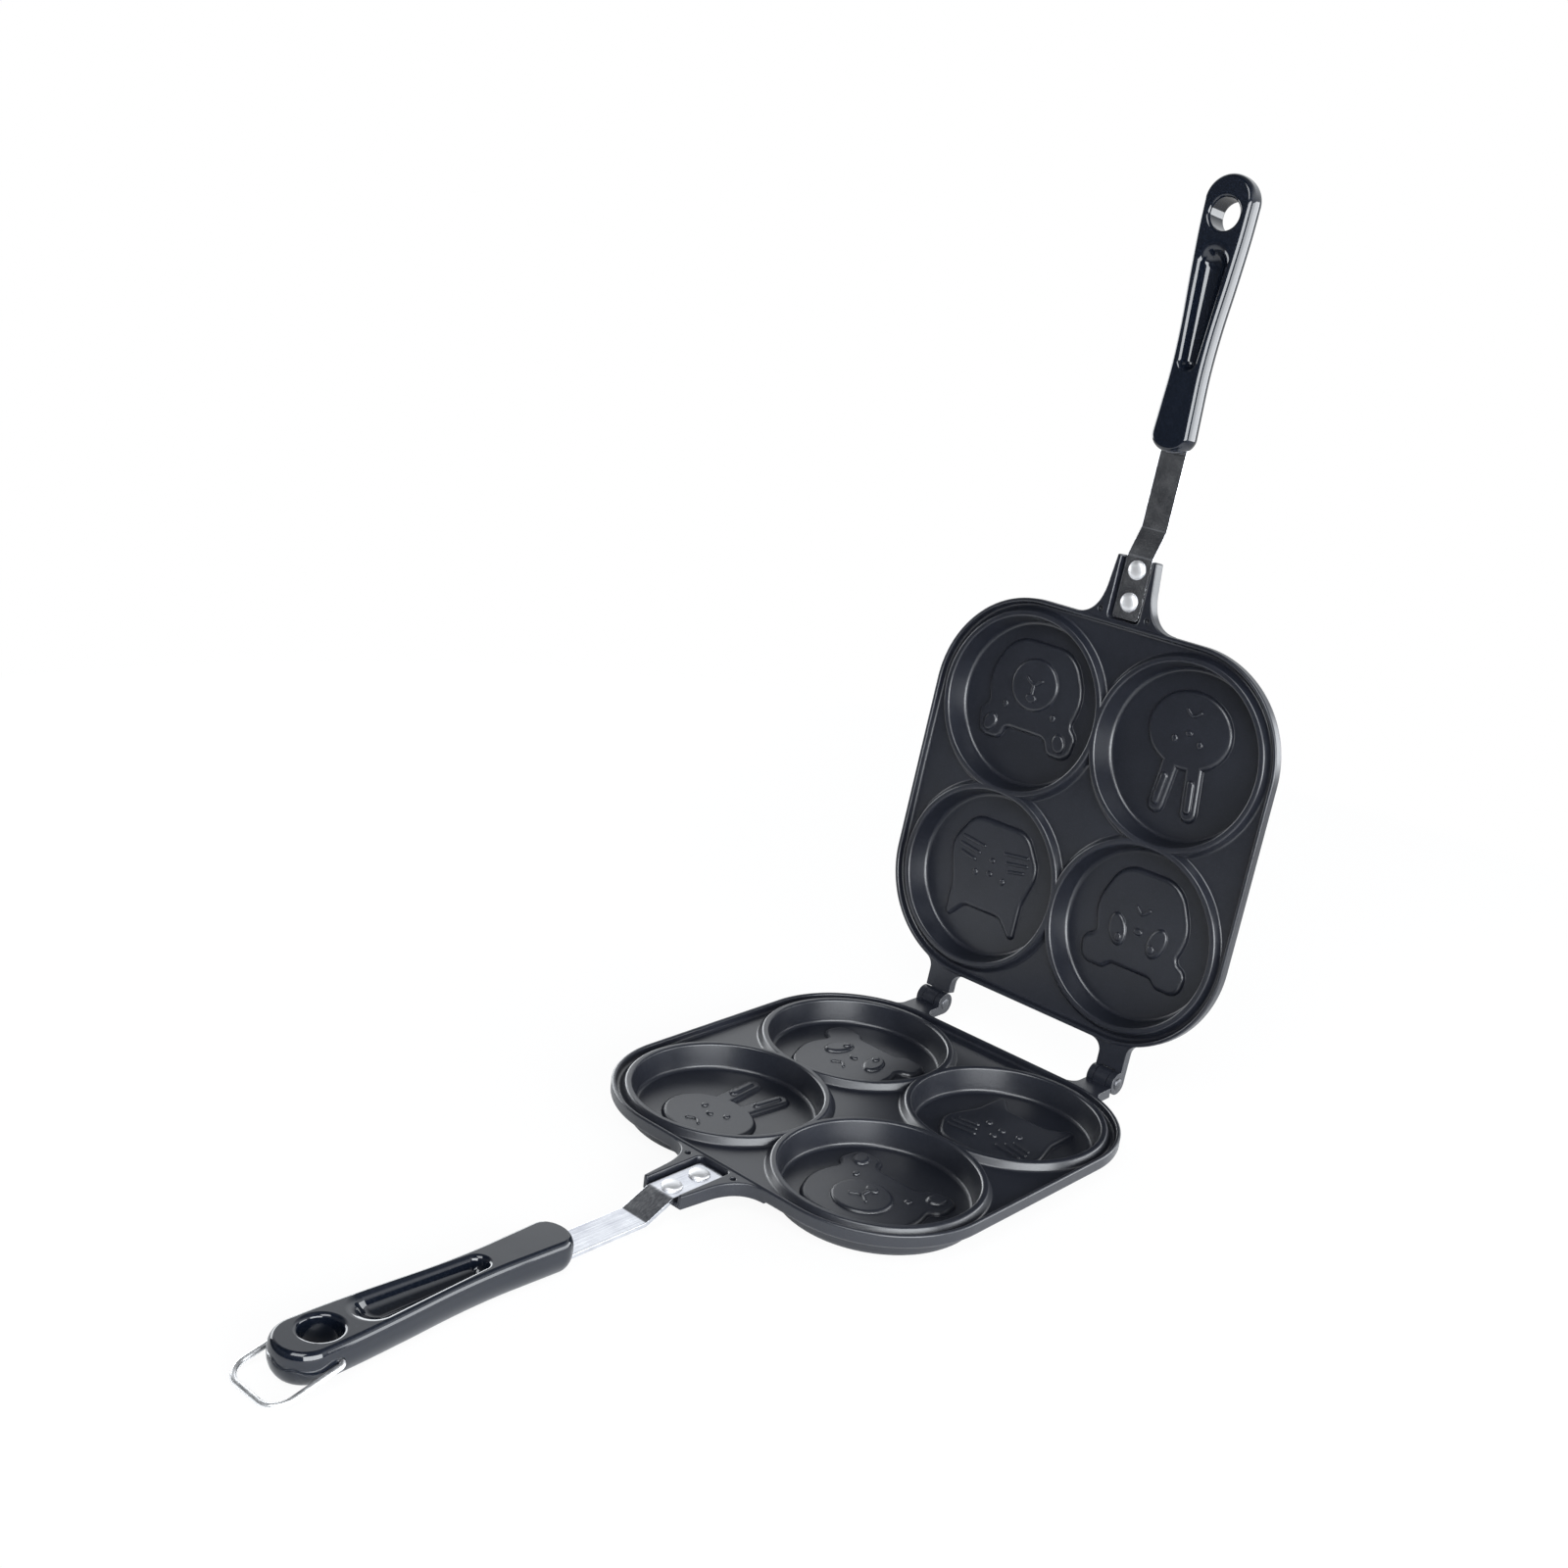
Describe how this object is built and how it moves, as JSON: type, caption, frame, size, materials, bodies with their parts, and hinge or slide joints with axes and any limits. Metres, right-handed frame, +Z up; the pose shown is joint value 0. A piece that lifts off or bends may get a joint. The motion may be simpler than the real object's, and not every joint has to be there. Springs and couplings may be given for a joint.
{
  "type": "hinged double frying pan",
  "caption": "Hinged double pan standing open, round egg and pancake cavities with animal faces in both halves, riveted straps, moulded grips and a wire lock loop.",
  "frame": {"origin": "middle of the footprint of the open pan, on the surface that the lower bowls stand on", "axes": "+Z up, -Y along the lower handle towards its grip, +X to the right as seen from that grip"},
  "size_m": [0.1954, 0.5116, 0.4364],
  "materials": {
    "coating": "die-cast aluminium under a satin black non-stick coating",
    "strap_steel": "bright flat steel",
    "rivet_aluminium": "bright",
    "pin_steel": "zinc-plated",
    "phenolic": "gloss black phenolic moulding",
    "loop_chrome": "bright wire"
  },
  "bodies": {
    "lower_pan": {"lower_plate": "coating", "lower_strap": "strap_steel", "lower_front_rivet": "rivet_aluminium", "lower_rear_rivet": "rivet_aluminium", "lower_hinge_pin": "pin_steel", "lower_grip": "phenolic", "lower_grip_screw": "pin_steel"},
    "upper_pan": {"upper_plate": "coating", "upper_strap": "strap_steel", "upper_front_rivet": "rivet_aluminium", "upper_rear_rivet": "rivet_aluminium", "upper_hinge_pin": "pin_steel", "upper_grip": "phenolic", "upper_grip_screw": "pin_steel"},
    "lock_loop": {"lock_loop": "loop_chrome"}
  },
  "joints": [
    {"name": "pan_hinge", "type": "hinge", "parent": "lower_pan", "child": "upper_pan", "pos_m": [0, 0.18052, 0.01575], "axis": [1, 0, 0], "range_deg": [0, 98.2]},
    {"name": "lock_loop_swing", "type": "hinge", "parent": "lower_pan", "child": "lock_loop", "pos_m": [0, -0.22648, 0.00825], "axis": [-1, 0, 0], "range_deg": [-146, 136]}
  ]
}
